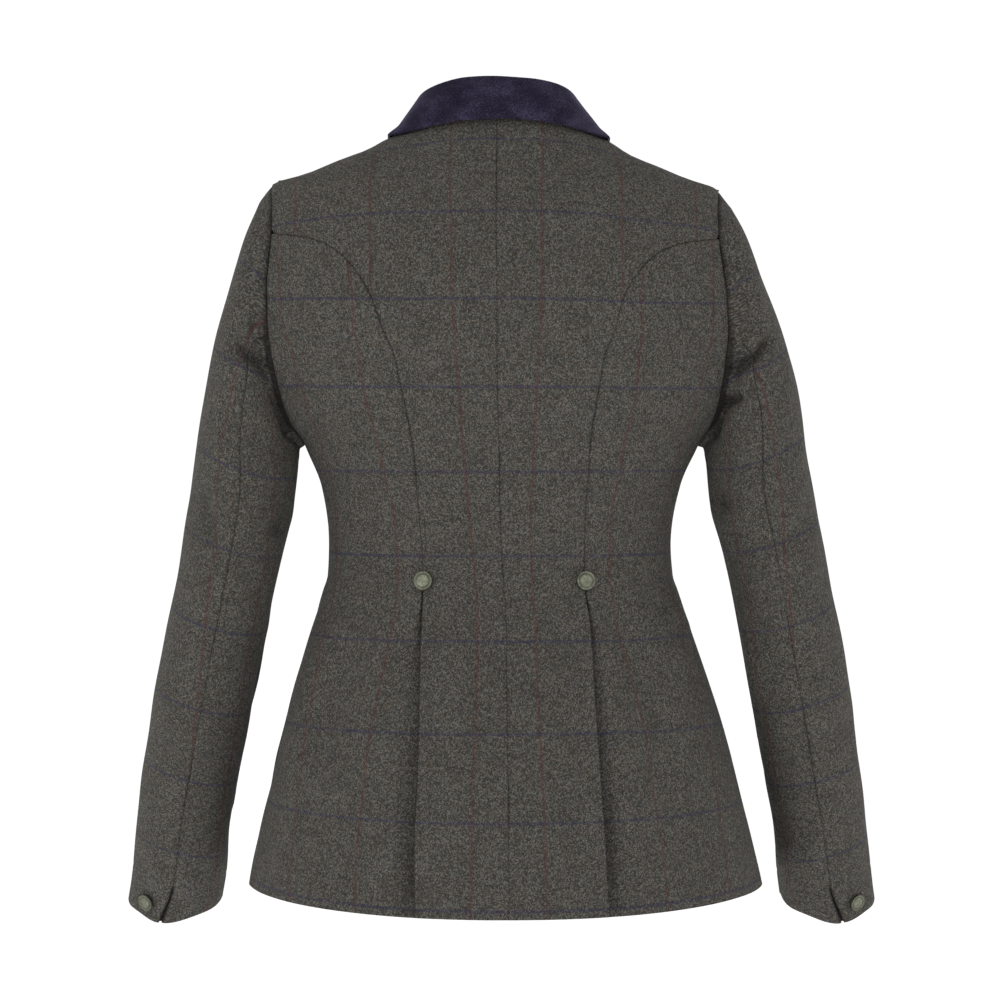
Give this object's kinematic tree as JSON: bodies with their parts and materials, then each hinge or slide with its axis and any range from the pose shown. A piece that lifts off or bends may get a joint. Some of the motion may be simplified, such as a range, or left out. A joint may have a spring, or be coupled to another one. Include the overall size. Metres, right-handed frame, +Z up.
{
  "type": "equestrian show jacket",
  "caption": "Fitted wool tweed riding jacket with velvet collar, waist buttons over back vents and slit cuffs, filled out hollow as if worn.",
  "frame": {"origin": "on the neck's centre line, level with the tops of the shoulder seams, where the wearer's shoulders and neck hold the jacket up", "axes": "+Z up, -Y the way the wearer faces, +X to the wearer's left arm"},
  "size_m": [0.6524, 0.3094, 0.7185],
  "materials": {
    "centre_back_left": "matte grey-green wool tweed with a dark blue and maroon windowpane check",
    "centre_back_right": "matte grey-green wool tweed with a dark blue and maroon windowpane check",
    "side_back_left": "matte grey-green wool tweed with a dark blue and maroon windowpane check",
    "side_back_right": "matte grey-green wool tweed with a dark blue and maroon windowpane check",
    "front_left": "matte grey-green wool tweed with a dark blue and maroon windowpane check",
    "front_right": "matte grey-green wool tweed with a dark blue and maroon windowpane check",
    "lapel_left": "matte grey-green wool tweed with a dark blue and maroon windowpane check",
    "lapel_right": "matte grey-green wool tweed with a dark blue and maroon windowpane check",
    "top_sleeve_left": "matte grey-green wool tweed with a dark blue and maroon windowpane check",
    "top_sleeve_right": "matte grey-green wool tweed with a dark blue and maroon windowpane check",
    "under_sleeve_left": "matte grey-green wool tweed with a dark blue and maroon windowpane check",
    "under_sleeve_right": "matte grey-green wool tweed with a dark blue and maroon windowpane check",
    "collar": "dark navy cotton velvet",
    "back_button_left": "dull pewter-coloured metal with a raised rim",
    "back_button_right": "dull pewter-coloured metal with a raised rim",
    "cuff_button_left": "dull pewter-coloured metal with a raised rim",
    "cuff_button_right": "dull pewter-coloured metal with a raised rim",
    "front_button_1": "dull pewter-coloured metal with a raised rim",
    "front_button_2": "dull pewter-coloured metal with a raised rim",
    "front_button_3": "dull pewter-coloured metal with a raised rim"
  },
  "bodies": {
    "root": {"centre_back_left": "centre_back_left", "centre_back_right": "centre_back_right", "side_back_left": "side_back_left", "side_back_right": "side_back_right", "front_left": "front_left", "front_right": "front_right", "lapel_left": "lapel_left", "lapel_right": "lapel_right", "top_sleeve_left": "top_sleeve_left", "top_sleeve_right": "top_sleeve_right", "under_sleeve_left": "under_sleeve_left", "under_sleeve_right": "under_sleeve_right", "collar": "collar", "back_button_left": "back_button_left", "back_button_right": "back_button_right", "cuff_button_left": "cuff_button_left", "cuff_button_right": "cuff_button_right", "front_button_1": "front_button_1", "front_button_2": "front_button_2", "front_button_3": "front_button_3"}
  },
  "joints": []
}
